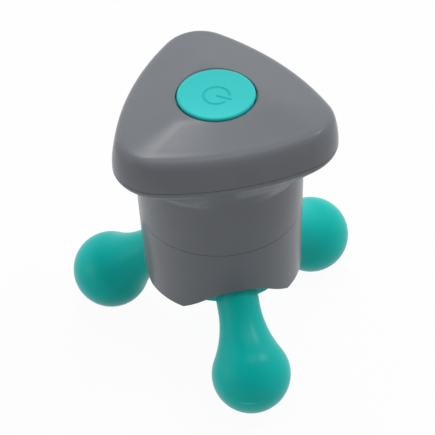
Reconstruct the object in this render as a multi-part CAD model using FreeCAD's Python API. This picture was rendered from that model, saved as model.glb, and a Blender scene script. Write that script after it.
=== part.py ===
import FreeCAD, Part
import math
import os

Vector = FreeCAD.Vector

# A palm-size vibrating massager that stands on three ball feet.
# Lengths are millimetres and angles are degrees. The balls stand on z = 0 and the body's axis is Z.
# The front leg points along -Y. The corners of the handle lie half way between the legs.

# Layout round the body's axis
leg_count = 3
front_leg_angle = -90.0
half_turn = 180.0
quarter_turn = 90.0

# Clearances and cuts that several pieces share
cut_overrun = 1.0
seat_gap = 0.2
running_gap = 0.04
contact_gap = 0.2

# Legs, each a ball on a neck with a spigot that sits in the hub
ball_radius = 12.5
neck_radius = 6.75
neck_blend_radius = 30.0
leg_slope = 42.0
leg_rise = 16.9
leg_root_inset = 2.6
neck_clearance = 0.4
spigot_radius = 3.0
spigot_length = 5.0
spigot_gap = 0.1

# Screws that draw the legs into the hub
leg_screw_radius = 1.1
leg_screw_length = 9.0
leg_screw_head_radius = 2.1
leg_screw_head_height = 1.5

# Hub, a drum with three slanted sockets and a pocket
hub_plate = 2.0
hub_gap = 0.3
hub_edge_radius = 0.8
hub_pocket_radius = 11.0
socket_end_wall = 1.5
socket_headroom = 0.4

# Screws that hold the hub under the floor
hub_screw_radius = 1.2
hub_screw_length = 5.5
hub_screw_head_radius = 2.4
hub_screw_head_height = 1.5
hub_screw_inset = 4.5

# Lower housing, a tapered skirt with an arch over each leg and a floor for the contacts
base_height = 25.6
base_wall = 2.35
skirt_wall = 2.0
skirt_drop = 2.8
skirt_chamfer = 0.4
floor_thickness = 1.6
arch_half_width = 16.9
arch_height = 9.1
arch_top_radius = 16.3
draft_angle = 1.9
seam_gap = 0.14

# Bayonet between the lower and the upper housing
twist_angle = 25.0
twist_gap = 0.35
collar_wall = 1.6
collar_length = 8.0
collar_flange = 2.2
lug_angle = 16.0
lug_height = 2.4
lug_reach = 0.9
lug_rise = 1.0

# Handle, a rounded triangle that flares out of the body
housing_wall = 2.2
corner_overhang = 11.2
side_overhang = 2.45
side_bow_angle = 15.6
flare_height = 10.4
side_flare_height = 7.0
flare_rim_height = 0.9
flare_softness = 0.5
crown_height = 13.0
crown_wall_angle = 73.0
crown_shoulder_radius = 4.0
crown_dome_angle = 10.0
crown_top_radius = 9.5
dome_straight_share = 0.8
corner_inset_share = 0.72
flare_steps = 10
wall_steps = 5
shoulder_steps = 4
dome_steps = 10
reveal_height = 0.14
reveal_depth = 0.5
lip_height = 2.0
lip_root = 2.5
lip_thickness = 1.2
lip_gap = 0.15

# Power button
button_radius = 12.25
button_gap = 0.3
button_proud = 0.9
button_travel = 1.0
button_skin = 2.1
button_wall = 1.5
button_dish = 0.25
button_edge_radius = 0.8
button_flange_reach = 1.5
button_flange_thickness = 1.2
button_flange_gap = 0.1
button_boss_radius = 2.6
button_boss_height = 0.6
button_hole_edge = 0.5

# Cells, three of the AAA size
cell_radius = 5.25
cell_length = 44.5
cell_nub_radius = 1.9
cell_nub_height = 1.0
cell_edge = 0.4

# Battery frame
cell_fit = 0.25
motor_fit = 0.15
frame_web = 1.5
frame_wall = 0.9
frame_fit = 0.3
frame_bottom_rise = 0.9
frame_foot = 1.2
frame_plate = 1.6
ear_drop = 8.5
ear_thickness = 2.5
ear_radius = 3.2
frame_screw_inset = 2.0
frame_boss_height = 12.0

# Screws that hold the frame to the upper housing
frame_screw_radius = 1.2
frame_screw_length = 8.5
frame_screw_head_radius = 2.4
frame_screw_head_height = 1.5

# Battery contacts
contact_thickness = 0.3
contact_width = 5.0
contact_dome_radius = 1.8
contact_dome_top_radius = 0.9
contact_dome_height = 0.8
top_contact_radius = 4.0
tab_width = 3.0
tab_inset = 3.5
strip_width = 2.6
strip_radius = 11.5
strip_foot = 3.0

# Circuit board and push switch
board_post_height = 1.5
board_post_radius = 2.2
board_thickness = 1.2
board_radius = 13.4
board_screw_circle_radius = 10.6
board_screw_radius = 0.9
board_screw_length = 3.4
board_screw_head_radius = 1.7
board_screw_head_height = 1.1
switch_width = 6.0
switch_height = 3.2
plunger_radius = 1.6
plunger_rise = 1.2
plunger_depth = 1.5
plunger_gap = 0.1
chip_length = 3.0
chip_width = 1.6
chip_height = 1.0
chip_circle_radius = 7.4

# Motor
motor_radius = 7.8
motor_length = 18.0
can_wall = 0.6
can_floor = 0.8
can_boss_radius = 2.7
can_boss_height = 1.0
motor_seat = 1.4
motor_seat_hole = 4.0
damper_thickness = 0.8
end_cap_flange = 1.0
end_cap_plug = 1.5
motor_plug_height = 3.0
motor_plug_hole = 5.6
bushing_radius = 2.0
bushing_length = 2.2
magnet_thickness = 1.6
magnet_length = 9.0
magnet_angle = 120.0
magnet_rise = 0.7
brush_thickness = 0.3
brush_width = 1.6
brush_length = 3.0
brush_gap = 0.1
terminal_circle_radius = 4.4
terminal_rise = 1.5
slot_gap = 0.1
lead_radius = 0.55

# Rotor
shaft_radius = 1.0
shaft_tail = 0.5
shaft_end_gap = 0.3
weight_radius = 7.2
weight_hub_radius = 2.4
weight_height = 7.0
weight_angle = 180.0
weight_gap = 0.8
weight_clearance = 1.0
core_radius = 5.3
core_length = 7.0
core_rise = 2.2
core_hub_radius = 2.0
pole_width = 1.8
pole_shoe = 0.9
pole_angle = 96.0
winding_width = 4.2
winding_end = 0.9
winding_gap_angle = 1.0
commutator_radius = 1.9
commutator_length = 3.8
commutator_gap = 0.5
commutator_slit = 0.3


def sine(angle):
    return math.sin(math.radians(angle))


def cosine(angle):
    return math.cos(math.radians(angle))


def tangent(angle):
    return math.tan(math.radians(angle))


# Directions of the legs and of the lobes between them
step_angle = 2 * half_turn / leg_count
leg_angles = [front_leg_angle + step_angle * index for index in range(leg_count)]
lobe_angles = [angle + step_angle / 2 for angle in leg_angles]
leg_names = ("front", "right", "left")

# Radii, worked outward from the motor and the cells to the skin
motor_bore_radius = motor_radius + motor_fit
cell_bore_radius = cell_radius + cell_fit
cell_circle_radius = motor_bore_radius + frame_web + cell_bore_radius
frame_radius = cell_circle_radius + cell_bore_radius + frame_wall
collar_bore_radius = frame_radius + frame_fit
collar_radius = collar_bore_radius + collar_wall
base_bore_radius = collar_radius + twist_gap
seam_radius = base_bore_radius + base_wall
skirt_bore_radius = seam_radius - base_height * tangent(draft_angle) - skirt_wall
hub_radius = skirt_bore_radius - hub_gap
leg_root_radius = hub_radius - leg_root_inset
ball_circle_radius = leg_root_radius + leg_rise / tangent(leg_slope)
frame_screw_circle_radius = seam_radius - housing_wall - frame_screw_inset
hub_screw_circle_radius = hub_radius - hub_screw_inset

# Places along a leg's axis, measured from the centre of its ball
leg_root_length = leg_rise / sine(leg_slope)
neck_end = leg_root_length + (neck_radius + hub_radius) / tangent(leg_slope)
spigot_end = leg_root_length + spigot_length
socket_end = spigot_end + spigot_gap + socket_end_wall
leg_screw_end = socket_end + leg_screw_head_height

# Heights, worked upward from the balls to the button
hub_underside_z = ball_radius + leg_rise
hub_top_z = (ball_radius + leg_screw_end * sine(leg_slope)
             + leg_screw_head_radius * cosine(leg_slope) + socket_headroom)
skirt_z = hub_underside_z - skirt_drop
seam_z = skirt_z + base_height
floor_z = hub_top_z + seat_gap
floor_top_z = floor_z + floor_thickness
cell_bottom_z = floor_top_z + contact_thickness + contact_dome_height + contact_gap
cell_top_z = cell_bottom_z + cell_length
frame_bottom_z = cell_bottom_z + frame_bottom_rise
frame_plate_z = cell_top_z + contact_gap + contact_thickness
frame_top_z = frame_plate_z + frame_plate
board_z = frame_top_z + board_post_height
board_top_z = board_z + board_thickness
switch_top_z = board_top_z + switch_height
plunger_top_z = switch_top_z + plunger_rise
button_boss_z = plunger_top_z + plunger_gap
button_ceiling_z = button_boss_z + button_boss_height
button_top_z = button_ceiling_z + button_skin
top_z = button_top_z - button_proud
parting_z = top_z - crown_height
flare_top_z = parting_z - flare_rim_height
flare_z = flare_top_z - flare_height
side_flare_z = flare_top_z - side_flare_height
ear_z = parting_z - ear_drop
collar_z = seam_z - collar_length
lug_z = collar_z + lug_rise
weight_z = frame_bottom_z + weight_clearance
motor_seat_z = weight_z + weight_height + weight_gap
damper_z = motor_seat_z + motor_seat
motor_z = damper_z + damper_thickness
motor_top_z = motor_z + motor_length
end_cap_z = motor_top_z - end_cap_flange - end_cap_plug
core_z = motor_z + can_floor + core_rise
commutator_z = core_z + core_length + winding_end + commutator_gap
terminal_top_z = motor_top_z + terminal_rise

# Crown of the handle, whose wall takes the height that the shoulder and the dome leave
parting_radius = seam_radius + (parting_z - seam_z) * tangent(draft_angle)
corner_reach = parting_radius + corner_overhang
side_reach = parting_radius + side_overhang
shoulder_rise = crown_shoulder_radius * (cosine(crown_dome_angle) - cosine(crown_wall_angle))
shoulder_run = crown_shoulder_radius * (sine(crown_wall_angle) - sine(crown_dome_angle))
wall_lean = (1 - sine(crown_wall_angle)) / cosine(crown_wall_angle)
dome_lean = tangent(crown_dome_angle) * (1 + dome_straight_share) / 2
dome_room = side_reach - shoulder_run - crown_top_radius
crown_wall_height = (crown_height - shoulder_rise - dome_room * dome_lean) / (1 - wall_lean * dome_lean)
crown_wall_radius = crown_wall_height / cosine(crown_wall_angle)


# Small builders that the pieces share
def polar(radius, angle, z=0):
    return Vector(radius * cosine(angle), radius * sine(angle), z)


def spun(shape, angle):
    copy = shape.copy()
    copy.rotate(Vector(), Vector(0, 0, 1), angle)
    return copy


def joined(shapes):
    return shapes[0].fuse(shapes[1:]).removeSplitter()


def less(shape, cutters):
    return shape.cut(cutters).removeSplitter()


def cylinder(radius, low_z, high_z, centre=Vector()):
    return Part.makeCylinder(radius, high_z - low_z, Vector(centre.x, centre.y, low_z))


def tube(outer_radius, inner_radius, low_z, high_z):
    return cylinder(outer_radius, low_z, high_z).cut(cylinder(inner_radius, low_z, high_z))


def block(size_x, size_y, low_z, high_z, centre_x=0, centre_y=0):
    corner = Vector(centre_x - size_x / 2, centre_y - size_y / 2, low_z)
    return Part.makeBox(size_x, size_y, high_z - low_z, corner)


def line(start, end):
    return Part.LineSegment(start, end).toShape()


def arc(centre, radius, start_angle, end_angle):
    angles = (start_angle, (start_angle + end_angle) / 2, end_angle)
    points = [centre + polar(radius, angle) for angle in angles]
    return Part.Arc(*points).toShape()


def revolved(edges):
    face = Part.Face(Part.Wire(edges))
    return face.revolve(Vector(), Vector(0, 0, 1), 2 * half_turn)


def turned(places):
    points = [Vector(radius, 0, z) for radius, z in places]
    return revolved([line(a, b) for a, b in zip(points, points[1:] + points[:1])])


def sector(inner_radius, outer_radius, low_z, high_z, start_angle, end_angle):
    base = Vector(0, 0, low_z)
    edges = [
        arc(base, inner_radius, start_angle, end_angle),
        line(polar(inner_radius, end_angle, low_z), polar(outer_radius, end_angle, low_z)),
        arc(base, outer_radius, end_angle, start_angle),
        line(polar(outer_radius, start_angle, low_z), polar(inner_radius, start_angle, low_z)),
    ]
    return Part.Face(Part.Wire(edges)).extrude(Vector(0, 0, high_z - low_z))


def screw(shank_radius, length, head_radius, head_height):
    # The seat of the head is at z = 0 and the shank points down, with a blunt cone for a tip.
    crown_radius = head_radius - head_height / 2
    return turned([
        (0, -length), (shank_radius / 2, -length), (shank_radius, shank_radius - length),
        (shank_radius, 0), (head_radius, 0), (head_radius, head_height / 2),
        (crown_radius, head_height), (0, head_height),
    ])


def placed(shape, place):
    copy = shape.copy()
    copy.translate(place)
    return copy


# Legs
def on_leg_axis(shape):
    # Takes a shape built up the Z axis from a ball's centre and lays it along the leg on the +X side.
    copy = shape.copy()
    lean = FreeCAD.Rotation(Vector(0, 1, 0), leg_slope - quarter_turn)
    leg_place = FreeCAD.Placement(Vector(ball_circle_radius, 0, ball_radius), lean)
    copy.Placement = leg_place.multiply(copy.Placement)
    return copy


def ball_and_neck():
    # The ball and the neck are joined by a hollow arc that is tangent to both.
    blend_x = neck_radius + neck_blend_radius
    blend_z = math.sqrt((ball_radius + neck_blend_radius) ** 2 - blend_x ** 2)
    lift = math.degrees(math.atan2(blend_z, blend_x))

    def place(radius, angle, centre_x=0, centre_z=0):
        return Vector(centre_x + radius * cosine(angle), 0, centre_z + radius * sine(angle))

    ball_start = place(ball_radius, -quarter_turn)
    ball_middle = place(ball_radius, (lift - quarter_turn) / 2)
    ball_end = place(ball_radius, lift)
    blend_middle = place(neck_blend_radius, half_turn + lift / 2, blend_x, blend_z)
    neck_start = Vector(neck_radius, 0, blend_z)
    neck_top = Vector(neck_radius, 0, neck_end)
    axis_top = Vector(0, 0, neck_end)
    return revolved([
        Part.Arc(Vector(0, 0, ball_start.z), ball_middle, ball_end).toShape(),
        Part.Arc(ball_end, blend_middle, neck_start).toShape(),
        line(neck_start, neck_top),
        line(neck_top, axis_top),
        line(axis_top, Vector(0, 0, ball_start.z)),
    ])


def leg():
    hub_space = cylinder(hub_radius + spigot_gap, hub_underside_z - spigot_gap,
                         hub_underside_z + neck_end)
    limb = on_leg_axis(ball_and_neck()).cut(hub_space)
    spigot_root = leg_root_length - neck_radius / tangent(leg_slope) - spigot_length
    spigot = on_leg_axis(cylinder(spigot_radius, spigot_root, spigot_end))
    pilot_end = socket_end - leg_screw_length
    pilot = on_leg_axis(cylinder(leg_screw_radius, pilot_end, spigot_end + cut_overrun))
    return less(limb.fuse(spigot), pilot)


def leg_screw():
    fastener = screw(leg_screw_radius, leg_screw_length, leg_screw_head_radius, leg_screw_head_height)
    return on_leg_axis(placed(fastener, Vector(0, 0, socket_end)))


# Hub
def hub_drum():
    # The drum is turned with a round lower edge and a pocket that is open at the top.
    plate_z = hub_underside_z + hub_plate
    bottom = Vector(hub_radius - hub_edge_radius, 0, hub_underside_z)
    edge_z = hub_underside_z + hub_edge_radius
    edge_middle = Vector(bottom.x + hub_edge_radius * sine(quarter_turn / 2), 0,
                         edge_z - hub_edge_radius * cosine(quarter_turn / 2))
    side = Vector(hub_radius, 0, edge_z)
    corners = [
        side, Vector(hub_radius, 0, hub_top_z), Vector(hub_pocket_radius, 0, hub_top_z),
        Vector(hub_pocket_radius, 0, plate_z), Vector(0, 0, plate_z), Vector(0, 0, hub_underside_z), bottom,
    ]
    edges = [line(a, b) for a, b in zip(corners, corners[1:])]
    edges.append(Part.Arc(bottom, edge_middle, side).toShape())
    return revolved(edges)


def leg_hub():
    bore = on_leg_axis(cylinder(spigot_radius + spigot_gap, 0, spigot_end + spigot_gap))
    screw_hole = on_leg_axis(cylinder(leg_screw_radius, spigot_end, socket_end + cut_overrun))
    head_room = on_leg_axis(cylinder(leg_screw_head_radius + spigot_gap, socket_end,
                                     socket_end + hub_radius))
    pilot = cylinder(hub_screw_radius, floor_top_z - hub_screw_length, hub_top_z + cut_overrun,
                     Vector(hub_screw_circle_radius, 0, 0))
    cuts = [spun(cutter, angle) for angle in leg_angles for cutter in (bore, screw_hole, head_room)]
    cuts += [spun(pilot, angle) for angle in lobe_angles]
    return less(hub_drum(), cuts)


def hub_screws():
    fastener = screw(hub_screw_radius, hub_screw_length, hub_screw_head_radius, hub_screw_head_height)
    return Part.makeCompound([placed(fastener, polar(hub_screw_circle_radius, angle, floor_top_z))
                              for angle in lobe_angles])


# Lower housing
def body_radius(z):
    return seam_radius + (z - seam_z) * tangent(draft_angle)


def arch_cutter():
    # Two slanted flanks run up from the rim and turn into a round top, tangent to both.
    centre_z = skirt_z + arch_height - arch_top_radius
    drop = skirt_z - centre_z
    reach = math.hypot(arch_half_width, drop)
    corner_angle = math.degrees(math.atan2(drop, arch_half_width))
    touch_angle = corner_angle + math.degrees(math.acos(arch_top_radius / reach))

    def place(y, z):
        return Vector(0, y, z)

    touch_y = arch_top_radius * cosine(touch_angle)
    touch_z = centre_z + arch_top_radius * sine(touch_angle)
    top = place(0, centre_z + arch_top_radius)
    slope = (touch_z - skirt_z) / (arch_half_width - touch_y)
    low_z = skirt_z - cut_overrun
    low_y = arch_half_width + cut_overrun / slope
    edges = [
        line(place(-low_y, low_z), place(low_y, low_z)),
        line(place(low_y, low_z), place(touch_y, touch_z)),
        Part.Arc(place(touch_y, touch_z), top, place(-touch_y, touch_z)).toShape(),
        line(place(-touch_y, touch_z), place(-low_y, low_z)),
    ]
    return Part.Face(Part.Wire(edges)).extrude(Vector(seam_radius + cut_overrun, 0, 0))


def bayonet_grooves():
    # Each groove starts under its lug and runs on to a slot that opens at the rim.
    groove_radius = collar_radius + lug_reach + twist_gap
    side_angle = math.degrees(twist_gap / groove_radius)
    inner_radius = base_bore_radius - cut_overrun
    cuts = []
    for angle in lobe_angles:
        start = angle - lug_angle / 2 - side_angle
        end = angle + twist_angle + lug_angle / 2 + side_angle
        slot_start = angle + twist_angle - lug_angle / 2 - side_angle
        cuts.append(sector(inner_radius, groove_radius, lug_z - twist_gap,
                           lug_z + lug_height + twist_gap, start, end))
        cuts.append(sector(inner_radius, groove_radius, lug_z, seam_z + cut_overrun, slot_start, end))
    return cuts


def eased_skirt(shape):
    # Chamfers the edges that the rim and the arches leave on the outer skin.
    edges = []
    for edge in shape.Edges:
        middle = edge.valueAt((edge.FirstParameter + edge.LastParameter) / 2)
        off_skin = abs(math.hypot(middle.x, middle.y) - body_radius(middle.z))
        if off_skin < running_gap and edge.BoundBox.ZMax < (skirt_z + seam_z) / 2:
            edges.append(edge)
    return shape.makeChamfer(skirt_chamfer, edges)


def lower_housing():
    rim_z = seam_z - seam_gap / 2
    shell = turned([
        (skirt_bore_radius, skirt_z), (body_radius(skirt_z), skirt_z), (body_radius(rim_z), rim_z),
        (base_bore_radius, rim_z), (base_bore_radius, floor_top_z), (0, floor_top_z),
        (0, floor_z), (skirt_bore_radius, floor_z),
    ])
    neck_space = on_leg_axis(cylinder(neck_radius + neck_clearance, 0,
                                      leg_root_length + neck_radius / tangent(leg_slope)))
    neck_space = neck_space.cut(cylinder(hub_radius, 0, seam_z))
    arch = arch_cutter().cut(cylinder(hub_radius, 0, seam_z))
    screw_hole = cylinder(hub_screw_radius, floor_z - cut_overrun, floor_top_z + cut_overrun,
                          Vector(hub_screw_circle_radius, 0, 0))
    cuts = [spun(cutter, angle) for angle in leg_angles for cutter in (neck_space, arch)]
    cuts += [spun(screw_hole, angle) for angle in lobe_angles]
    return eased_skirt(less(shell, cuts + bayonet_grooves()))


# Handle
def handle_outline(reach, side, z):
    # A rounded triangle: one arc at each corner and a flatter one along each side, all tangent.
    corner = half_turn / leg_count
    spread = (reach - side) / (1 - cosine(corner) - sine(corner) * tangent(side_bow_angle / 2))
    corner_radius = reach - spread
    set_back = spread * (sine(corner) / tangent(side_bow_angle) - cosine(corner))
    edges = []
    for angle in lobe_angles:
        turn = corner - side_bow_angle
        side_middle = angle + corner
        edges.append(arc(polar(spread, angle, z), corner_radius, angle - turn, angle + turn))
        edges.append(arc(polar(-set_back, side_middle, z), side + set_back,
                         side_middle - side_bow_angle, side_middle + side_bow_angle))
    return Part.Wire(edges)


def flare_share(share):
    # An S-curve from 0 to 1, and its softness slows the start without touching the roll at the end.
    share = min(max(share, 0), 1)
    even = share * share * (3 - 2 * share)
    late = share * share * share * (4 - 3 * share)
    return even + flare_softness * (late - even)


def flare_size(z, inset):
    # The inner skin uses the height of the rim to keep the wall's thickness round the roll.
    lift = min(inset, flare_rim_height) - inset
    corner_share = flare_share((z - inset - flare_z) / (flare_height + lift))
    side_share = flare_share((z - inset - side_flare_z) / (side_flare_height + lift))
    round_size = body_radius(z) - inset
    return round_size + corner_overhang * corner_share, round_size + side_overhang * side_share


def crown_profile():
    # Above the parting a leaning wall, a round shoulder and a dome with straight flanks follow, each tangent
    # to the last.
    # A row is the inset at a side's middle, the rise, the slope and the share of the dome that is left.
    rows = []
    for step in range(1, wall_steps + 1):
        slope = quarter_turn - (quarter_turn - crown_wall_angle) * step / wall_steps
        rows.append((crown_wall_radius * (1 - sine(slope)), crown_wall_radius * cosine(slope), slope, 1))
    wall_inset, wall_rise = rows[-1][:2]
    for step in range(1, shoulder_steps + 1):
        slope = crown_wall_angle - (crown_wall_angle - crown_dome_angle) * step / shoulder_steps
        inset = wall_inset + crown_shoulder_radius * (sine(crown_wall_angle) - sine(slope))
        rise = wall_rise + crown_shoulder_radius * (cosine(slope) - cosine(crown_wall_angle))
        rows.append((inset, rise, slope, 1))
    edge_inset, edge_rise = rows[-1][:2]
    edge_size = side_reach - edge_inset
    run = edge_size - crown_top_radius
    for step in range(1, dome_steps + 1):
        share = step / dome_steps
        turn = max(share - dome_straight_share, 0) / (1 - dome_straight_share)
        lost = turn * turn * (1 - dome_straight_share) / 2
        rise = run * tangent(crown_dome_angle) * (share - lost)
        slope = math.degrees(math.atan(tangent(crown_dome_angle) * (1 - turn)))
        rows.append((edge_inset, edge_rise + rise, slope, 1 - share * run / edge_size))
    return rows


def crown_wires(inset):
    wires = []
    for cut, rise, slope, share in crown_profile():
        shrink = inset * sine(slope)
        reach = (corner_reach - corner_inset_share * cut) * share - shrink
        side = (side_reach - cut) * share - shrink
        wires.append(handle_outline(reach, side, parting_z + rise - inset * cosine(slope)))
    return wires


def handle_solid(inset, low_z):
    # The loft starts one step below the flare, where the body is still round, and an upright rim ends it.
    flare_step = flare_height / flare_steps
    loft_z = flare_z - flare_step
    heights = [loft_z + flare_step * step for step in range(flare_steps + 2)] + [parting_z]
    wires = [handle_outline(*flare_size(z, inset), z) for z in heights] + crown_wires(inset)
    cone = Part.makeCone(body_radius(low_z) - inset, body_radius(loft_z) - inset, loft_z - low_z,
                         Vector(0, 0, low_z))
    return cone.fuse(Part.makeLoft(wires, True, False))


def handle_shell():
    return handle_solid(0, seam_z + seam_gap / 2).cut(handle_solid(housing_wall, seam_z - cut_overrun))


def prism(reach, side, low_z, high_z):
    face = Part.Face(handle_outline(reach, side, low_z))
    return face.extrude(Vector(0, 0, high_z - low_z))


def half_space(low_z, high_z):
    width = 2 * (corner_reach + cut_overrun)
    return block(width, width, low_z, high_z)


def reveal_groove():
    # The shadow line between the top cover and the upper housing.
    low_z = parting_z - reveal_height / 2
    high_z = parting_z + reveal_height / 2
    outside = prism(corner_reach + cut_overrun, side_reach + cut_overrun, low_z, high_z)
    return outside.cut(prism(corner_reach - reveal_depth, side_reach - reveal_depth, low_z, high_z))


def collar():
    flange_z = seam_z + seam_gap / 2
    wall_radius = seam_radius - housing_wall / 2
    ring = turned([
        (collar_bore_radius, collar_z), (collar_radius, collar_z), (collar_radius, flange_z),
        (wall_radius, flange_z), (wall_radius, flange_z + collar_flange),
        (collar_bore_radius, flange_z + collar_flange),
    ])
    lugs = [sector(collar_bore_radius, collar_radius + lug_reach, lug_z, lug_z + lug_height,
                   angle - lug_angle / 2, angle + lug_angle / 2) for angle in lobe_angles]
    return joined([ring] + lugs)


def cover_lip():
    wall_radius = crown_wall_radius - housing_wall
    lean = crown_wall_radius - math.sqrt(wall_radius ** 2 - lip_height ** 2)
    reach = corner_reach - lean - lip_gap
    side = side_reach - lean - lip_gap
    low_z = parting_z - lip_root
    high_z = parting_z + lip_height
    inside = prism(reach - lip_thickness, side - lip_thickness, low_z, high_z)
    return prism(reach, side, low_z, high_z).cut(inside)


def upper_housing(shell):
    lower_shell = shell.common(half_space(seam_z, parting_z))
    boss_place = Vector(frame_screw_circle_radius, 0, 0)
    boss = cylinder(ear_radius, ear_z - frame_boss_height, ear_z, boss_place)
    pilot = cylinder(frame_screw_radius, ear_z + ear_thickness - frame_screw_length,
                     ear_z + cut_overrun, boss_place)
    solids = [lower_shell, collar(), cover_lip()] + [spun(boss, angle) for angle in lobe_angles]
    return less(joined(solids), [reveal_groove()] + [spun(pilot, angle) for angle in lobe_angles])


def top_cover(shell):
    crown = shell.common(half_space(parting_z, top_z + cut_overrun))
    hole_radius = button_radius + button_gap
    rounding = turned([
        (hole_radius, top_z + cut_overrun), (hole_radius, top_z - button_hole_edge),
        (hole_radius + button_hole_edge, top_z), (hole_radius + button_hole_edge, top_z + cut_overrun),
    ])
    hole = cylinder(hole_radius, parting_z, top_z + cut_overrun)
    flange_pocket = cylinder(hole_radius + button_flange_reach, parting_z, top_z - housing_wall)
    return less(crown, [reveal_groove(), hole, flange_pocket, rounding])


# Power button and its switch
def power_button():
    flange_top_z = top_z - housing_wall - button_flange_gap
    flange_radius = button_radius + button_flange_reach
    flange_z = flange_top_z - button_flange_thickness
    bore_radius = button_radius - button_wall
    face_radius = button_radius - button_edge_radius
    edge_z = button_top_z - button_edge_radius
    edge_middle = Vector(face_radius + button_edge_radius * sine(quarter_turn / 2), 0,
                         edge_z + button_edge_radius * cosine(quarter_turn / 2))
    dish_z = button_top_z - button_dish
    dish_middle = Vector(face_radius / 2, 0, dish_z + button_dish / 4)
    corners = [
        Vector(button_radius, 0, edge_z), Vector(button_radius, 0, flange_top_z),
        Vector(flange_radius, 0, flange_top_z), Vector(flange_radius, 0, flange_z),
        Vector(bore_radius, 0, flange_z), Vector(bore_radius, 0, button_ceiling_z),
        Vector(button_boss_radius, 0, button_ceiling_z), Vector(button_boss_radius, 0, button_boss_z),
        Vector(0, 0, button_boss_z), Vector(0, 0, dish_z),
    ]
    edges = [line(a, b) for a, b in zip(corners, corners[1:])]
    rim = Vector(face_radius, 0, button_top_z)
    edges.append(Part.Arc(corners[-1], dish_middle, rim).toShape())
    edges.append(Part.Arc(rim, edge_middle, corners[0]).toShape())
    return revolved(edges)


def plunger_foot_z():
    return switch_top_z - plunger_depth


def switch_body():
    well_z = plunger_foot_z() - button_travel - plunger_gap
    well = cylinder(plunger_radius + running_gap, well_z, switch_top_z + cut_overrun)
    return less(block(switch_width, switch_width, board_top_z, switch_top_z), well)


def switch_plunger():
    return cylinder(plunger_radius, plunger_foot_z(), plunger_top_z)


# Circuit board
def board_places():
    return [polar(board_screw_circle_radius, angle) for angle in lobe_angles[:-1]]


def circuit_board():
    holes = [cylinder(board_screw_radius, board_z, board_top_z, place) for place in board_places()]
    return less(cylinder(board_radius, board_z, board_top_z), holes)


def board_screws():
    fastener = screw(board_screw_radius, board_screw_length, board_screw_head_radius,
                     board_screw_head_height)
    return Part.makeCompound([placed(fastener, place + Vector(0, 0, board_top_z))
                              for place in board_places()])


def board_chips():
    chip = block(chip_width, chip_length, board_top_z, board_top_z + chip_height, chip_circle_radius)
    return Part.makeCompound([spun(chip, angle) for angle in leg_angles])


# Cells and their contacts
def cell(nub_up):
    places = [
        (0, 0), (cell_radius - cell_edge, 0), (cell_radius, cell_edge),
        (cell_radius, cell_length - cell_nub_height - cell_edge),
        (cell_radius - cell_edge, cell_length - cell_nub_height),
        (cell_nub_radius, cell_length - cell_nub_height), (cell_nub_radius, cell_length),
        (0, cell_length),
    ]
    if not nub_up:
        places = [(radius, cell_length - height) for radius, height in places]
    return turned([(radius, cell_bottom_z + height) for radius, height in places])


def top_contacts():
    # A pad over each cell with a tab that is soldered to the board.
    pad = cylinder(top_contact_radius, frame_plate_z - contact_thickness, frame_plate_z,
                   Vector(cell_circle_radius, 0, 0))
    tab = block(contact_thickness, tab_width, frame_plate_z - contact_thickness, board_z,
                cell_circle_radius - tab_inset)
    return Part.makeCompound([spun(joined([pad, tab]), angle) for angle in leg_angles])


def dome(place, height):
    low_z = floor_top_z + contact_thickness
    cone = Part.makeCone(contact_dome_radius, contact_dome_top_radius, height)
    return placed(cone, Vector(place.x, place.y, low_z))


def contact_bar(start, end):
    # A flat strip on the floor from one place to another, with round ends.
    high_z = floor_top_z + contact_thickness
    run = end - start
    bar = block(run.Length, contact_width, floor_top_z, high_z, run.Length / 2)
    bar.rotate(Vector(), Vector(0, 0, 1), math.degrees(math.atan2(run.y, run.x)))
    ends = [cylinder(contact_width / 2, floor_top_z, high_z, place) for place in (start, end)]
    return joined([placed(bar, start)] + ends)


def base_link_contact():
    ends = [polar(cell_circle_radius, angle) for angle in leg_angles[:2]]
    return joined([contact_bar(*ends)] + [dome(place, contact_dome_height) for place in ends])


def base_return_contact():
    cell_place = polar(cell_circle_radius, leg_angles[-1])
    strip_place = polar(strip_radius, lobe_angles[-1])
    strip_dome_z = frame_bottom_z - contact_thickness - contact_gap
    strip_dome = dome(strip_place, strip_dome_z - floor_top_z - contact_thickness)
    return joined([contact_bar(cell_place, strip_place), dome(cell_place, contact_dome_height), strip_dome])


def return_strip():
    # A riser from under the frame to the board, with a foot that meets the base's contact.
    foot = block(strip_foot, strip_width, frame_bottom_z - contact_thickness, frame_bottom_z, strip_radius)
    riser = block(contact_thickness, strip_width, frame_bottom_z - contact_thickness, board_z, strip_radius)
    return spun(joined([foot, riser]), lobe_angles[-1])


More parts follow.
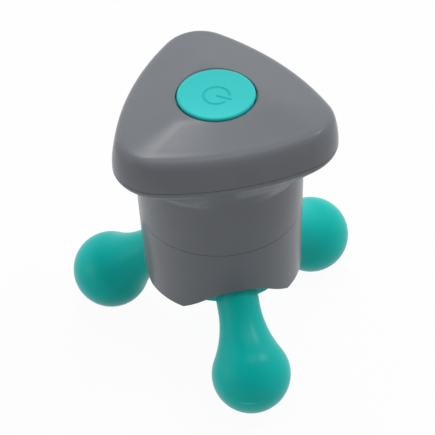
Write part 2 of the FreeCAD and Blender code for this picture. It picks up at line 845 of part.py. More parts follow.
# Battery frame
def battery_frame():
    cell_place = Vector(cell_circle_radius, 0, 0)
    holder = cylinder(cell_bore_radius + frame_wall, frame_bottom_z, frame_top_z, cell_place)
    ear_place = Vector(frame_screw_circle_radius, 0, 0)
    ear = cylinder(ear_radius, ear_z, ear_z + ear_thickness, ear_place)
    arm = block(frame_screw_circle_radius, 2 * ear_radius, ear_z, ear_z + ear_thickness,
                frame_screw_circle_radius / 2)
    disc_radius = frame_radius - frame_wall / 2
    trim = cylinder(body_radius(ear_z) - housing_wall - frame_fit, ear_z, ear_z + ear_thickness)
    wing = joined([ear, arm]).common(trim)
    solids = [
        cylinder(motor_bore_radius + frame_wall, frame_bottom_z, frame_top_z),
        cylinder(disc_radius, frame_bottom_z, frame_bottom_z + frame_foot),
        cylinder(disc_radius, frame_plate_z, frame_top_z),
    ]
    solids += [spun(holder, angle) for angle in leg_angles]
    solids += [spun(wing, angle) for angle in lobe_angles]
    solids += [cylinder(board_post_radius, frame_plate_z, board_z, place) for place in board_places()]

    low_z = frame_bottom_z - cut_overrun
    high_z = frame_top_z + cut_overrun
    pocket = cylinder(cell_bore_radius, low_z, frame_plate_z, cell_place)
    tab_slot = block(contact_thickness + 2 * slot_gap, tab_width + 2 * slot_gap, frame_plate_z, high_z,
                     cell_circle_radius - tab_inset)
    strip_slot = block(contact_thickness + 2 * slot_gap, strip_width + 2 * slot_gap, low_z, high_z,
                       strip_radius)
    ear_hole = cylinder(frame_screw_radius, ear_z - cut_overrun, ear_z + ear_thickness + cut_overrun,
                        ear_place)
    cuts = [
        cylinder(motor_bore_radius, low_z, motor_seat_z),
        cylinder(motor_seat_hole, low_z, damper_z + cut_overrun),
        cylinder(motor_bore_radius, damper_z, high_z),
        spun(strip_slot, lobe_angles[-1]),
    ]
    cuts += [spun(cutter, angle) for angle in leg_angles for cutter in (pocket, tab_slot)]
    cuts += [spun(ear_hole, angle) for angle in lobe_angles]
    cuts += [cylinder(board_screw_radius, board_top_z - board_screw_length, board_z + cut_overrun, place)
             for place in board_places()]
    return less(joined(solids), cuts)


def frame_screws():
    fastener = screw(frame_screw_radius, frame_screw_length, frame_screw_head_radius,
                     frame_screw_head_height)
    return Part.makeCompound([placed(fastener, polar(frame_screw_circle_radius, angle, ear_z + ear_thickness))
                              for angle in lobe_angles])


# Motor
def motor_can():
    inner_radius = motor_radius - can_wall
    boss_z = motor_z - can_boss_height
    return turned([
        (bushing_radius, boss_z), (can_boss_radius, boss_z), (can_boss_radius, motor_z),
        (motor_radius, motor_z), (motor_radius, motor_top_z - end_cap_flange),
        (inner_radius, motor_top_z - end_cap_flange), (inner_radius, motor_z + can_floor),
        (bushing_radius, motor_z + can_floor),
    ])


def motor_bushings():
    shaft_hole = shaft_radius + running_gap
    front_z = motor_z - can_boss_height
    lower = tube(bushing_radius, shaft_hole, front_z, front_z + bushing_length)
    upper = tube(bushing_radius, shaft_hole, end_cap_z, end_cap_z + bushing_length)
    return Part.makeCompound([lower, upper])


def motor_end_cap():
    flange_z = motor_top_z - end_cap_flange
    plug = cylinder(motor_radius - can_wall, end_cap_z, flange_z)
    flange = cylinder(motor_radius, flange_z, motor_top_z)
    slot = block(brush_thickness + 2 * slot_gap, brush_width + 2 * slot_gap, end_cap_z - cut_overrun,
                 motor_top_z + cut_overrun, terminal_circle_radius)
    cuts = [cylinder(bushing_radius, end_cap_z - cut_overrun, end_cap_z + bushing_length)]
    cuts += [slot, spun(slot, half_turn)]
    return less(joined([plug, flange]), cuts)


def motor_brushes():
    # Each brush is a leaf beside the commutator, an arm under the end cap and a terminal above it.
    leaf_x = commutator_radius + brush_gap + brush_thickness / 2
    arm_z = end_cap_z - brush_thickness
    arm_length = terminal_circle_radius - leaf_x + brush_thickness
    leaf = block(brush_thickness, brush_width, end_cap_z - brush_length, end_cap_z, leaf_x)
    arm = block(arm_length, brush_width, arm_z, end_cap_z, (leaf_x + terminal_circle_radius) / 2)
    terminal = block(brush_thickness, brush_width, arm_z, terminal_top_z, terminal_circle_radius)
    brush = joined([leaf, arm, terminal])
    return Part.makeCompound([brush, spun(brush, half_turn)])


def motor_magnets():
    outer_radius = motor_radius - can_wall
    low_z = motor_z + can_floor + magnet_rise
    magnet = sector(outer_radius - magnet_thickness, outer_radius, low_z, low_z + magnet_length,
                    -magnet_angle / 2, magnet_angle / 2)
    return Part.makeCompound([magnet, spun(magnet, half_turn)])


def motor_damper():
    return tube(motor_bore_radius, motor_seat_hole, damper_z, motor_z)


def motor_plug():
    return tube(motor_bore_radius, motor_plug_hole, motor_top_z, motor_top_z + motor_plug_height)


def motor_leads():
    place = Vector(terminal_circle_radius, 0, 0)
    lead = cylinder(lead_radius, terminal_top_z, board_z, place)
    return Part.makeCompound([lead, spun(lead, half_turn)])


# Rotor
def motor_shaft():
    return cylinder(shaft_radius, weight_z - shaft_tail, end_cap_z + bushing_length - shaft_end_gap)


def eccentric_weight():
    high_z = weight_z + weight_height
    lobe = sector(shaft_radius, weight_radius, weight_z, high_z, -weight_angle / 2, weight_angle / 2)
    solid = joined([lobe, cylinder(weight_hub_radius, weight_z, high_z)])
    return less(solid, cylinder(shaft_radius, weight_z, high_z))


def armature_core():
    high_z = core_z + core_length
    solids = [cylinder(core_hub_radius, core_z, high_z)]
    arm = block(core_radius - pole_shoe, pole_width, core_z, high_z, (core_radius - pole_shoe) / 2)
    shoe = sector(core_radius - 2 * pole_shoe, core_radius, core_z, high_z, -pole_angle / 2, pole_angle / 2)
    for angle in leg_angles:
        solids += [spun(arm, angle), spun(shoe, angle)]
    return less(joined(solids), cylinder(shaft_radius, core_z, high_z))


def armature_windings():
    # One coil round each pole, between the hub and the pole's shoe.
    inner_radius = core_hub_radius + brush_gap
    outer_radius = core_radius - 2 * pole_shoe - brush_gap
    middle = (inner_radius + outer_radius) / 2
    depth = outer_radius - inner_radius
    low_z = core_z - winding_end
    high_z = core_z + core_length + winding_end
    outside = block(depth, winding_width, low_z, high_z, middle)
    wedge = sector(shaft_radius, core_radius, low_z, high_z, -step_angle / 2 + winding_gap_angle,
                   step_angle / 2 - winding_gap_angle)
    coil = outside.common(wedge).cut(block(depth, pole_width, core_z, core_z + core_length, middle))
    keep_out = cylinder(inner_radius, low_z, high_z)
    ring = cylinder(outer_radius, low_z, high_z)
    coil = coil.common(ring).cut(keep_out)
    return Part.makeCompound([spun(coil, angle) for angle in leg_angles])


def commutator():
    high_z = commutator_z + commutator_length
    slit = block(commutator_radius, commutator_slit, commutator_z + commutator_gap, high_z + cut_overrun,
                 commutator_radius + shaft_radius)
    sleeve = tube(commutator_radius, shaft_radius, commutator_z, high_z)
    return less(sleeve, [spun(slit, angle) for angle in lobe_angles])


# Every piece under the name of its node
shell = handle_shell()
pieces = {
    "top_cover": top_cover(shell),
    "upper_housing": upper_housing(shell),
    "lower_housing": lower_housing(),
    "leg_hub": leg_hub(),
    "leg_screws": Part.makeCompound([spun(leg_screw(), angle) for angle in leg_angles]),
    "hub_screws": hub_screws(),
    "power_button": power_button(),
    "switch_body": switch_body(),
    "switch_plunger": switch_plunger(),
    "circuit_board": circuit_board(),
    "board_screws": board_screws(),
    "board_chips": board_chips(),
    "top_contacts": top_contacts(),
    "base_link_contact": base_link_contact(),
    "base_return_contact": base_return_contact(),
    "return_strip": return_strip(),
    "battery_frame": battery_frame(),
    "frame_screws": frame_screws(),
    "motor_can": motor_can(),
    "motor_bushings": motor_bushings(),
    "motor_end_cap": motor_end_cap(),
    "motor_brushes": motor_brushes(),
    "motor_magnets": motor_magnets(),
    "motor_damper": motor_damper(),
    "motor_plug": motor_plug(),
    "motor_leads": motor_leads(),
    "motor_shaft": motor_shaft(),
    "eccentric_weight": eccentric_weight(),
    "armature_core": armature_core(),
    "armature_windings": armature_windings(),
    "commutator": commutator(),
}
for leg_index, leg_name in enumerate(leg_names):
    pieces["leg_" + leg_name] = spun(leg(), leg_angles[leg_index])
    upright = leg_index != 1
    pieces["battery_cell_" + leg_name] = spun(placed(cell(upright), Vector(cell_circle_radius, 0, 0)),
                                              leg_angles[leg_index])

os.makedirs("parts", exist_ok=True)
for node, piece in pieces.items():
    piece.exportStep("parts/" + node + ".step")
    print(node, "solids", len(piece.Solids), "valid", piece.isValid(), "volume", round(piece.Volume, 1))
print("top", round(top_z, 2), "button", round(button_top_z, 2), "parting", round(parting_z, 2),
      "seam", round(seam_z, 2), "floor", round(floor_top_z, 2), "skirt", round(skirt_z, 2),
      "seam radius", round(seam_radius, 2), "ball circle", round(ball_circle_radius, 2))
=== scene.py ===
# %% [markdown]
# # A palm massager on three ball feet
# The real object is a grey satin handle and body with a round teal button on top and three teal legs below.
# Its solids come from CAD and are already exact, so Blender's work is the finish, the small moulded details
# and the light. We load the solids as a fixed frame and dress them piece by piece.

import math

import bpy
from mathutils import Matrix, Vector


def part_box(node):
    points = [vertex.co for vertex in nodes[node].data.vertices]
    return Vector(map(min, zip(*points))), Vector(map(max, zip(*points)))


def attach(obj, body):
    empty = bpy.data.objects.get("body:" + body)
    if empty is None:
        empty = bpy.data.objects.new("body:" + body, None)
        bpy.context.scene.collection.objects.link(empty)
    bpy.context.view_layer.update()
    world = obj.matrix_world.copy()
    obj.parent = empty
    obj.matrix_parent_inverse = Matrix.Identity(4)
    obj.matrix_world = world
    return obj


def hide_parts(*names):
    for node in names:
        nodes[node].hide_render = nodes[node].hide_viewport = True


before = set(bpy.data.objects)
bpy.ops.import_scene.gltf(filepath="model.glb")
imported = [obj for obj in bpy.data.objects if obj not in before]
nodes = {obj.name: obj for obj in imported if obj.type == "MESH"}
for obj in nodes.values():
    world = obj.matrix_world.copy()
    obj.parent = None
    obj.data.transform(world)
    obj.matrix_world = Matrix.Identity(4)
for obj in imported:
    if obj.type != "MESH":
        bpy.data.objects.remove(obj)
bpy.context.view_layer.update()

# %% [markdown]
# ## Sums that write shader nodes
# Every finish needs a little arithmetic on textures. Wiring Math nodes by hand is slow to read, so one small
# class stands for a socket and turns Python's own operators into Math nodes. Colours go through Mix nodes
# instead, because a Math node would turn them grey. A second class holds the tree that the nodes grow in.

# %% Sockets that can be added and multiplied
class Wire:
    """One output socket, ready for Python sums."""

    def __init__(self, finish, socket):
        self.finish = finish
        self.socket = socket

    def maths(self, operation, first, second):
        return self.finish.node("ShaderNodeMath", {"operation": operation}, {0: first, 1: second})

    def __add__(self, other):
        return self.maths("ADD", self, other)

    def __radd__(self, other):
        return self.maths("ADD", other, self)

    def __sub__(self, other):
        return self.maths("SUBTRACT", self, other)

    def __rsub__(self, other):
        return self.maths("SUBTRACT", other, self)

    def __mul__(self, other):
        return self.maths("MULTIPLY", self, other)

    def __rmul__(self, other):
        return self.maths("MULTIPLY", other, self)


print("sums ready:", [name for name in vars(Wire) if name.startswith("__r")])

# %% A tree of nodes
class Finish:
    """A tree of shader nodes, for a material or for the world."""

    def __init__(self, owner):
        owner.use_nodes = True
        self.owner = owner
        self.tree = owner.node_tree
        self.tree.nodes.clear()

    def node(self, kind, settings=None, sockets=None, output=0):
        made = self.tree.nodes.new(kind)
        for name, value in (settings or {}).items():
            if name == "stops":
                self.set_stops(made.color_ramp, value)
            else:
                setattr(made, name, value)
        for name, value in (sockets or {}).items():
            if isinstance(value, Wire):
                self.tree.links.new(value.socket, made.inputs[name])
            else:
                made.inputs[name].default_value = value
        return Wire(self, made.outputs[output]) if made.outputs else made

    def set_stops(self, ramp, stops):
        while len(ramp.elements) < len(stops):
            ramp.elements.new(1.0)
        for element, (position, shade) in zip(ramp.elements, stops):
            element.position = position
            element.color = (shade, shade, shade, 1.0)

    def mix(self, share, first, second):
        return self.node("ShaderNodeMix", {"data_type": "RGBA"}, {0: share, 6: first, 7: second}, output=2)

    def noise(self, place, per_metre, detail):
        sockets = {"Vector": place, "Scale": per_metre, "Detail": detail}
        return self.node("ShaderNodeTexNoise", {}, sockets, "Fac")

    def relief(self, height, depth):
        sockets = {"Strength": 1.0, "Distance": depth, "Height": height}
        return self.node("ShaderNodeBump", {}, sockets, "Normal")

    def surface(self, sockets):
        shader = self.node("ShaderNodeBsdfPrincipled", {}, sockets)
        self.node("ShaderNodeOutputMaterial", {}, {"Surface": shader})
        return self.owner


print("node helpers:", [name for name in vars(Finish) if not name.startswith("__")])

# %% [markdown]
# ## Colours as they look on a screen
# A colour picked by eye is in display values from 0 to 255, while the shader wants linear light. One function
# converts, so that the numbers in this file stay easy to compare with what is seen.

# %% Colour helper
def colour(red, green, blue):
    """Linear light of a display colour, by the sRGB curve."""
    def linear(value):
        share = value / 255
        return share / 12.92 if share <= 0.04045 else ((share + 0.055) / 1.055) ** 2.4

    return (linear(red), linear(green), linear(blue), 1.0)


print("mid grey in linear light:", [round(value, 3) for value in colour(127, 127, 127)[:3]])

# %% [markdown]
# ## Moulded plastic
# Injection-moulded plastic is never one flat colour. The pigment clouds a little over centimetres, the
# mould's spark-eroded steel leaves a fine grain that breaks up the gloss, and handling polishes it in
# patches. A painted image could show all that, but it would have to be unwrapped over every solid. Three
# noise textures at those three sizes need no unwrapping. Bump is kept to a few microns, because satin plastic
# looks soft, not rough.

# %% Recipe for moulded plastic
clouds_per_metre, patches_per_metre = 70, 240
cloud_stops = [(0.3, 0.0), (0.7, 1.0)]
noise_middle = 0.5


def plastic(name, base, cloud, roughness, grain_size, grain_depth, sheen_spread=0.05, specular=0.5):
    finish = Finish(bpy.data.materials.new(name))
    place = finish.node("ShaderNodeTexCoord", output="Object")
    clouds = finish.noise(place, clouds_per_metre, detail=3)
    patches = finish.noise(place, patches_per_metre, detail=2)
    grain = finish.noise(place, 1 / grain_size, detail=2)
    share = finish.node("ShaderNodeValToRGB", {"stops": cloud_stops}, {"Fac": clouds}, "Color")
    tint = finish.mix(share, base, cloud)
    gloss = roughness + (patches - noise_middle) * sheen_spread + (grain - noise_middle) * sheen_spread
    relief = finish.relief(grain, grain_depth)
    return finish.surface({"Base Color": tint, "Roughness": gloss, "Normal": relief,
                           "Specular IOR Level": specular})


print("clouds and patches per metre:", clouds_per_metre, patches_per_metre)

# %% Plastics that show
mm = 0.001
micron = 0.000001
shell_grey = plastic("satin grey shell", colour(110, 113, 118), colour(113, 116, 121), roughness=0.25,
                     grain_size=0.4 * mm, grain_depth=2 * micron, sheen_spread=0.012, specular=0.12)
leg_teal = plastic("satin teal leg", colour(1, 179, 171), colour(2, 183, 175), roughness=0.32,
                   grain_size=0.5 * mm, grain_depth=2 * micron, sheen_spread=0.014, specular=0.13)
button_teal = plastic("matte teal button", colour(40, 186, 184), colour(44, 189, 187), roughness=0.48,
                      grain_size=0.3 * mm, grain_depth=3 * micron, sheen_spread=0.02, specular=0.15)
# The sign's lines are a darker teal than the button: painted shade for the groove.
sign_shade_teal = plastic("teal line with painted shade", colour(31, 174, 171), colour(35, 178, 175), roughness=0.55,
                    grain_size=0.3 * mm, grain_depth=3 * micron, specular=0.12)
mark_teal = plastic("trimmed teal line", colour(70, 212, 202), colour(76, 216, 206), roughness=0.5,
                    grain_size=0.3 * mm, grain_depth=3 * micron, specular=0.3)
print("plastics that show:", len(bpy.data.materials))

# %% Plastics inside the body
frame_white = plastic("unpainted inner plastic", colour(196, 196, 190), colour(205, 204, 198),
                      roughness=0.5, grain_size=0.6 * mm, grain_depth=6 * micron)
black_plastic = plastic("black inner plastic", colour(24, 25, 27), colour(32, 33, 35),
                        roughness=0.45, grain_size=0.5 * mm, grain_depth=6 * micron)
damper_rubber = plastic("soft black rubber", colour(30, 29, 28), colour(38, 36, 35),
                        roughness=0.8, grain_size=0.4 * mm, grain_depth=10 * micron)
lead_cover = plastic("red lead cover", colour(150, 28, 26), colour(165, 34, 30),
                     roughness=0.5, grain_size=0.4 * mm, grain_depth=4 * micron)
board_green = plastic("green board lacquer", colour(20, 84, 50), colour(26, 98, 58),
                      roughness=0.3, grain_size=0.9 * mm, grain_depth=10 * micron)
print("plastics in all:", len(bpy.data.materials))

# %% [markdown]
# ## Metals inside the body
# Contacts, screws, motor and rotor are bare or plated metal. What tells metals apart is the colour of the
# reflection and how far it is blurred. Drawn and turned parts carry fine lines along one direction. They
# could be modelled as grooves, at a great cost in faces, so a noise that is stretched or squeezed along the
# axis of the body draws them instead.

# %% Recipe for drawn metal
lines_per_metre, stains_per_metre = 900, 160
line_gloss = 0.2
line_depth = 4 * micron


def metal(name, base, dull, roughness, stretch):
    finish = Finish(bpy.data.materials.new(name))
    place = finish.node("ShaderNodeTexCoord", output="Object")
    drawn = finish.node("ShaderNodeMapping", {}, {"Vector": place, "Scale": stretch}, "Vector")
    lines = finish.noise(drawn, lines_per_metre, detail=3)
    stains = finish.noise(place, stains_per_metre, detail=4)
    tint = finish.mix(stains, base, dull)
    gloss = roughness + (lines - noise_middle) * line_gloss
    relief = finish.relief(lines, line_depth)
    return finish.surface({"Base Color": tint, "Roughness": gloss, "Metallic": 1.0, "Normal": relief})


contact_metal = metal("nickel plated spring strip", colour(205, 203, 196), colour(178, 174, 164),
                      roughness=0.25, stretch=(1, 1, 0.15))
screw_steel = metal("zinc plated screw steel", colour(176, 180, 186), colour(148, 150, 152),
                    roughness=0.3, stretch=(1, 1, 0.3))
can_steel = metal("drawn motor can steel", colour(186, 186, 184), colour(160, 160, 158),
                  roughness=0.28, stretch=(1, 1, 0.1))
brass = metal("turned brass", colour(205, 165, 92), colour(172, 130, 66), roughness=0.3, stretch=(1, 1, 3))
iron = metal("sintered iron", colour(110, 108, 106), colour(84, 82, 80), roughness=0.5, stretch=(1, 1, 1))
print("materials so far:", len(bpy.data.materials))

# %% [markdown]
# ## The cells
# A dry cell is a steel can in a printed plastic jacket. Without any print, what remains is a plain dark
# jacket with bare metal at both ends. The ends could be solids of their own, but height along the cell
# already tells which is which, so the object coordinate in Z goes through a ramp with hard steps.

# %% Cell jacket
bare_foot, bare_head, bare_step = 0.018, 0.965, 0.002
wear_per_metre = 300
jacket_roughness, jacket_wear = 0.28, 0.1


def cell_jacket():
    finish = Finish(bpy.data.materials.new("plain cell jacket"))
    low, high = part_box("battery_cell_front")
    place = finish.node("ShaderNodeTexCoord", output="Object")
    height = finish.node("ShaderNodeSeparateXYZ", {}, {"Vector": place}, "Z")
    share = (height - low.z) * (1 / (high.z - low.z))
    bare_stops = [(0.0, 1.0), (bare_foot, 1.0), (bare_foot + bare_step, 0.0),
                  (bare_head, 0.0), (bare_head + bare_step, 1.0)]
    bare = finish.node("ShaderNodeValToRGB", {"stops": bare_stops}, {"Fac": share}, "Color")
    wear = finish.noise(place, wear_per_metre, detail=3)
    sleeve = finish.mix(wear, colour(38, 60, 96), colour(44, 68, 106))
    tint = finish.mix(bare, sleeve, colour(196, 194, 188))
    gloss = jacket_roughness + (wear - noise_middle) * jacket_wear
    return finish.surface({"Base Color": tint, "Roughness": gloss, "Metallic": bare})


jacket = cell_jacket()
print("cell jacket:", jacket.name)

# %% [markdown]
# ## Which solid takes which finish
# A CAD solid arrives with a plain grey material. Each could be rebuilt as a mesh of our own, but replacing
# the material in its slots leaves the shape alone, which is what we want for every solid whose form is
# already right.

# %% Dress the solids
finishes = {
    shell_grey: ["top_cover", "upper_housing", "lower_housing"],
    leg_teal: ["leg_hub", "leg_front", "leg_right", "leg_left"],
    button_teal: ["power_button"],
    frame_white: ["battery_frame", "motor_plug"],
    black_plastic: ["switch_body", "switch_plunger", "board_chips", "motor_end_cap"],
    damper_rubber: ["motor_damper"],
    lead_cover: ["motor_leads"],
    board_green: ["circuit_board"],
    contact_metal: ["top_contacts", "base_link_contact", "base_return_contact", "return_strip"],
    screw_steel: ["leg_screws", "hub_screws", "frame_screws", "board_screws"],
    can_steel: ["motor_can", "motor_shaft"],
    brass: ["motor_bushings", "motor_brushes", "commutator", "armature_windings"],
    iron: ["armature_core", "motor_magnets", "eccentric_weight"],
    jacket: ["battery_cell_front", "battery_cell_right", "battery_cell_left"],
}
for material, names in finishes.items():
    for name in names:
        nodes[name].data.materials.clear()
        nodes[name].data.materials.append(material)
print("dressed", sum(len(names) for names in finishes.values()), "of", len(nodes))

# %% [markdown]
# ## The button's cap
# The real button is one moulding: a dished face with a soft rim, a skirt, a flange that keeps it under the
# cover and a boss that meets the switch. A sign for on and off is cut into its face in thin lines. A texture
# could only fake that groove, so the cap is spun again here as a mesh whose rings and spokes are fine enough
# to sink the lines into the face. The arc of the sign runs along the rings and its bar along the spokes. The
# faces inside the lines are also coloured a darker teal, which is painted shade in the groove.

# %% Sizes of the cap
cap_low, cap_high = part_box("power_button")
flange_radius = cap_high.x
cap_radius = flange_radius - 1.62 * mm
cap_top = cap_high.z - 0.53 * mm
rim_radius = 0.7 * mm
face_radius = cap_radius - rim_radius
dish_depth = 0.97 * mm
flange_top = cap_low.z + 1.2 * mm
bore_radius = cap_radius - 1.38 * mm
ceiling = cap_high.z - 2.1 * mm
boss_radius = 2.6 * mm
boss_foot = ceiling - 0.6 * mm
print("cap radius", round(cap_radius / mm, 2), "top", round(cap_top / mm, 2))

# %% The sign's groove
sign_heading = math.radians(-37)
sign_radius = 4.02 * mm
sign_gap = math.radians(26)
sign_bar_start, sign_bar_end = 0.3 * mm, 4.75 * mm
line_half = 0.41 * mm
line_soft = 0.14 * mm
groove_depth = 0.16 * mm
sign_reach = sign_bar_end + 0.9 * mm
arc_end_along, arc_end_across = sign_radius * math.cos(sign_gap), sign_radius * math.sin(sign_gap)


def line_share(x, y):
    """1 in the sign's lines, 0 outside them, and a soft edge between."""
    along = x * math.cos(sign_heading) + y * math.sin(sign_heading)
    across = y * math.cos(sign_heading) - x * math.sin(sign_heading)
    to_bar = math.hypot(along - min(max(along, sign_bar_start), sign_bar_end), across)
    if abs(math.atan2(across, along)) > sign_gap:
        to_arc = abs(math.hypot(x, y) - sign_radius)
    else:
        to_arc = math.hypot(along - arc_end_along, abs(across) - arc_end_across)
    share = (line_half + line_soft - min(to_bar, to_arc)) / (2 * line_soft)
    share = min(max(share, 0), 1)
    return share * share * (3 - 2 * share)


bar_middle = (sign_bar_start + sign_bar_end) / 2
bar_x, bar_y = bar_middle * math.cos(sign_heading), bar_middle * math.sin(sign_heading)
print("share in the bar", line_share(bar_x, bar_y))

# %% The cap's outline, from the middle of the face round to the boss
fine_steps, coarse_steps, rim_steps = 68, 10, 8


def cap_profile():
    rings = [sign_reach * step / fine_steps for step in range(1, fine_steps + 1)]
    for step in range(1, coarse_steps + 1):
        rings.append(sign_reach + (face_radius - sign_reach) * step / coarse_steps)
    points = [(ring, cap_top - dish_depth * (1 - (ring / face_radius) ** 2)) for ring in rings]
    for step in range(1, rim_steps + 1):
        angle = math.pi / 2 * step / rim_steps
        points.append((face_radius + rim_radius * math.sin(angle),
                       cap_top - rim_radius * (1 - math.cos(angle))))
    points += [(cap_radius, flange_top), (flange_radius, flange_top), (flange_radius, cap_low.z),
               (bore_radius, cap_low.z), (bore_radius, ceiling),
               (boss_radius, ceiling), (boss_radius, boss_foot)]
    return points


profile = cap_profile()
print("points on the outline:", len(profile))

# %% Spin the cap
sharp_edge = math.radians(40)


def link_mesh(name, vertices, faces):
    mesh = bpy.data.meshes.new(name)
    mesh.from_pydata(vertices, [], faces)
    mesh.validate()
    piece = bpy.data.objects.new(name, mesh)
    bpy.context.scene.collection.objects.link(piece)
    for polygon in mesh.polygons:
        polygon.use_smooth = True
    mesh.set_sharp_from_angle(angle=sharp_edge)
    return piece


def spin_cap(spokes=240):
    vertices = [(0, 0, cap_top - dish_depth - groove_depth * line_share(0, 0))]
    for radius, height in profile:
        for spoke in range(spokes):
            angle = sign_heading + 2 * math.pi * spoke / spokes
            x, y = radius * math.cos(angle), radius * math.sin(angle)
            sink = groove_depth * line_share(x, y) if height > ceiling and radius < sign_reach else 0
            vertices.append((x, y, height - sink))
    vertices.append((0, 0, boss_foot))
    foot_middle, last_ring = len(vertices) - 1, 1 + (len(profile) - 1) * spokes
    faces = []
    for spoke in range(spokes):
        following = (spoke + 1) % spokes
        faces.append((0, 1 + spoke, 1 + following))
        for ring in range(len(profile) - 1):
            inner, outer = 1 + ring * spokes, 1 + (ring + 1) * spokes
            faces.append((inner + spoke, outer + spoke, outer + following, inner + following))
        faces.append((last_ring + spoke, foot_middle, last_ring + following))
    return link_mesh("button_cap", vertices, faces)


cap = spin_cap()
print("cap:", len(cap.data.polygons), "faces")

# %% Colour the cap and put it in the button's place
line_edge_share = 0.5
cap.data.materials.append(button_teal)
cap.data.materials.append(sign_shade_teal)
# Faces inside the sign's lines take the darker teal, painted shade that deepens the groove.
for polygon in cap.data.polygons:
    middle = polygon.center
    if middle.z > ceiling and line_share(middle.x, middle.y) > line_edge_share:
        polygon.material_index = 1
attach(cap, "button")
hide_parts("power_button")
print("faces in the sign:", sum(polygon.material_index for polygon in cap.data.polygons))

# %% [markdown]
# ## Gate marks on the balls
# Each leg was filled through a small gate near the outermost point of its ball, and trimming the gate leaves
# a short raised line just below the middle. It is a tiny thing, but the eye finds it and believes the
# moulding. The lines sit a little to one side of that point, the right one on its other side, so that none
# makes the object any wider. A bump would show neither on the ball's outline nor in the exported mesh, so a
# lens-shaped ridge is swept along the surface and thinned towards both ends.

# %% Sizes of the marks
ball_low, ball_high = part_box("leg_front")
ball_radius = (ball_high.x - ball_low.x) / 2
ball_reach = -ball_low.y - ball_radius
mark_drop = math.radians(-2.8)
mark_span = math.radians(12)
mark_turn = math.radians(-18.5)
mark_half = 0.15 * mm
mark_height = 0.06 * mm
mark_end_share = 0.02
mark_stations, mark_sides = 24, 6
print("gate marks at a reach of", round(ball_reach / mm, 2), "mm")

# %% Sweep the marks
def mark_points(heading, aside):
    points = []
    for station in range(mark_stations + 1):
        share = 2 * station / mark_stations - 1
        taper = math.sqrt(max(1 - share * share, 0.0)) + mark_end_share
        turn = heading + aside + mark_span * share
        for side in range(mark_sides):
            angle = 2 * math.pi * side / mark_sides
            lift = ball_radius + mark_height * taper * math.sin(angle)
            tilt = mark_drop + mark_half * taper * math.cos(angle) / ball_radius
            flat = lift * math.cos(tilt)
            points.append((ball_reach * math.cos(heading) + flat * math.cos(turn),
                           ball_reach * math.sin(heading) + flat * math.sin(turn),
                           ball_low.z + ball_radius + lift * math.sin(tilt)))
    return points


def gate_mark(name, heading, aside):
    last = mark_stations * mark_sides
    faces = [tuple(range(mark_sides))[::-1], tuple(last + side for side in range(mark_sides))]
    for station in range(mark_stations):
        near, far = station * mark_sides, (station + 1) * mark_sides
        for side in range(mark_sides):
            following = (side + 1) % mark_sides
            faces.append((near + side, near + following, far + following, far + side))
    mark = link_mesh(name, mark_points(heading, aside), faces)
    mark.data.materials.append(mark_teal)
    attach(mark, "base")
    return mark


mark_places = (("gate_mark_front", -90, 1), ("gate_mark_right", 30, -1), ("gate_mark_left", 150, 1))
marks = [gate_mark(name, math.radians(degrees), mark_turn * side) for name, degrees, side in mark_places]
print("gate marks:", [mark.name for mark in marks])

# %% [markdown]
# ## A white studio
# The object stands in a white tent: pale floor, pale walls, soft light from above and from both sides. More
# lamps could burn the background out to white, but they would flood the object too. So the world and the
# floor show plain white only to the rays that look at them, from the camera or by a reflection, and the floor
# keeps a soft shadow. The side of the tent where the camera stands is the darkest, which gives the front of
# the object its depth, so the light that the world sheds falls off towards that side.

# %% What the camera and the reflections see
ray_kinds = ("Is Camera Ray", "Is Glossy Ray", "Is Transmission Ray")
plain_white = (1, 1, 1, 1)


def seen_directly(finish):
    camera_ray, glossy_ray, passing_ray = (finish.node("ShaderNodeLightPath", output=kind)
                                           for kind in ray_kinds)
    return finish.node("ShaderNodeClamp", {}, {"Value": camera_ray + glossy_ray + passing_ray})


print("white for:", ray_kinds)

# %% World
behind, right_side, left_side = (0.19, 0.98, 0), (0.98, -0.19, 0), (-0.98, 0.19, 0)
glow_behind, glow_right, glow_left = 1.36, 0.73, 0.64
world = bpy.data.worlds.new("white tent")
bpy.context.scene.world = world
tent = Finish(world)
direction = tent.node("ShaderNodeTexCoord", output="Generated")


def towards(axis):
    sockets = {0: direction, 1: axis}
    facing = tent.node("ShaderNodeVectorMath", {"operation": "DOT_PRODUCT"}, sockets, "Value")
    return tent.node("ShaderNodeClamp", {}, {"Value": facing})


glow = glow_behind * towards(behind) + glow_right * towards(right_side) + glow_left * towards(left_side)
seen = seen_directly(tent)
strength = glow * (1 - seen) + seen
backdrop = tent.node("ShaderNodeBackground", {}, {"Color": plain_white, "Strength": strength})
tent.node("ShaderNodeOutputWorld", {}, {"Surface": backdrop})
print("world:", world.name)

# %% Floor
floor_half = 3.0
paper_shade = 0.75
white_share = 0.95
corners = [(-floor_half, -floor_half, 0), (floor_half, -floor_half, 0),
           (floor_half, floor_half, 0), (-floor_half, floor_half, 0)]
floor = link_mesh("floor", corners, [(0, 1, 2, 3)])
paper = Finish(bpy.data.materials.new("white paper"))
matte = paper.node("ShaderNodeBsdfDiffuse", {}, {"Color": (paper_shade, paper_shade, paper_shade, 1)})
white = paper.node("ShaderNodeEmission", {}, {"Color": plain_white, "Strength": 1.0})
sheet = paper.node("ShaderNodeMixShader", {}, {0: seen_directly(paper) * white_share, 1: matte, 2: white})
paper.node("ShaderNodeOutputMaterial", {}, {"Surface": sheet})
floor.data.materials.append(paper.owner)
print("floor:", floor.name)

# %% [markdown]
# ## The camera
# A long lens looks from above and in front, a little from the left, as the photograph was taken. It could be
# set by eye, but the rim, the seam and the balls give enough points to fit its place, its roll and its lens.

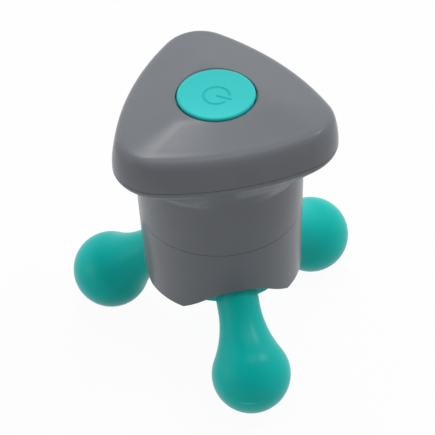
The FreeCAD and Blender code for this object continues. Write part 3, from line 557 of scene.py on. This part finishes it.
# %% Camera
lens = bpy.data.cameras.new("camera")
lens.lens = 221.34
lens.sensor_width = 36
lens.shift_x = -0.00898
lens.shift_y = -0.00168
camera = bpy.data.objects.new("camera", lens)
bpy.context.scene.collection.objects.link(camera)
bpy.context.scene.camera = camera
camera_place = (-0.1192, -0.6186, 0.6156)
outward = Vector((-0.1403, -0.7278, 0.6712))
level = Vector((0.98193, -0.18927, 0))
upright = outward.cross(level)
roll = math.radians(-2.395)
right = math.cos(roll) * level + math.sin(roll) * upright
up = math.cos(roll) * upright - math.sin(roll) * level
camera.matrix_world = Matrix.Translation(camera_place) @ Matrix((right, up, outward)).transposed().to_4x4()
print("camera at", [round(value, 3) for value in camera_place])

# %% [markdown]
# ## Softboxes
# A photographer would hang white boxes round the tent, and each leaves its own trace on the object. The small
# one at the back draws the bright streak on the front left ridge of the crown. The two on the left lift the
# left sides of the body and legs, the one overhead lifts the crown and the tops of the balls, and the one on
# the right puts the highlights on the front leg and the right ball. One strong lamp could light it all, but
# the shapes would go flat.

# %% Lamps
aim = Vector((0, 0, 0.05))


def lamp(name, place, size, power):
    light = bpy.data.lights.new(name, "AREA")
    light.size = size
    light.energy = power
    holder = bpy.data.objects.new(name, light)
    bpy.context.scene.collection.objects.link(holder)
    holder.location = place
    holder.rotation_euler = (aim - Vector(place)).to_track_quat("-Z", "Y").to_euler()


lamp("back softbox", (0.026, 0.583, 0.945), size=0.15, power=2.0)
lamp("left softbox", (-0.9, 0.1, 0.3), size=0.6, power=0.65)
lamp("low left softbox", (-0.93, -0.15, 0.25), size=0.5, power=0.75)
lamp("overhead softbox", (0.06, -0.04, 1.0), size=0.4, power=1.5)
lamp("right softbox", (0.55, 0.0, 0.88), size=0.25, power=2.65)
print("lamps:", [light.name for light in bpy.data.lights])

# %% [markdown]
# ## The view transform
# The scene's view transform is set to Standard. What was added here must not make the object any bigger than
# its solids.

# %% Set the view transform
bpy.context.scene.view_settings.view_transform = "Standard"
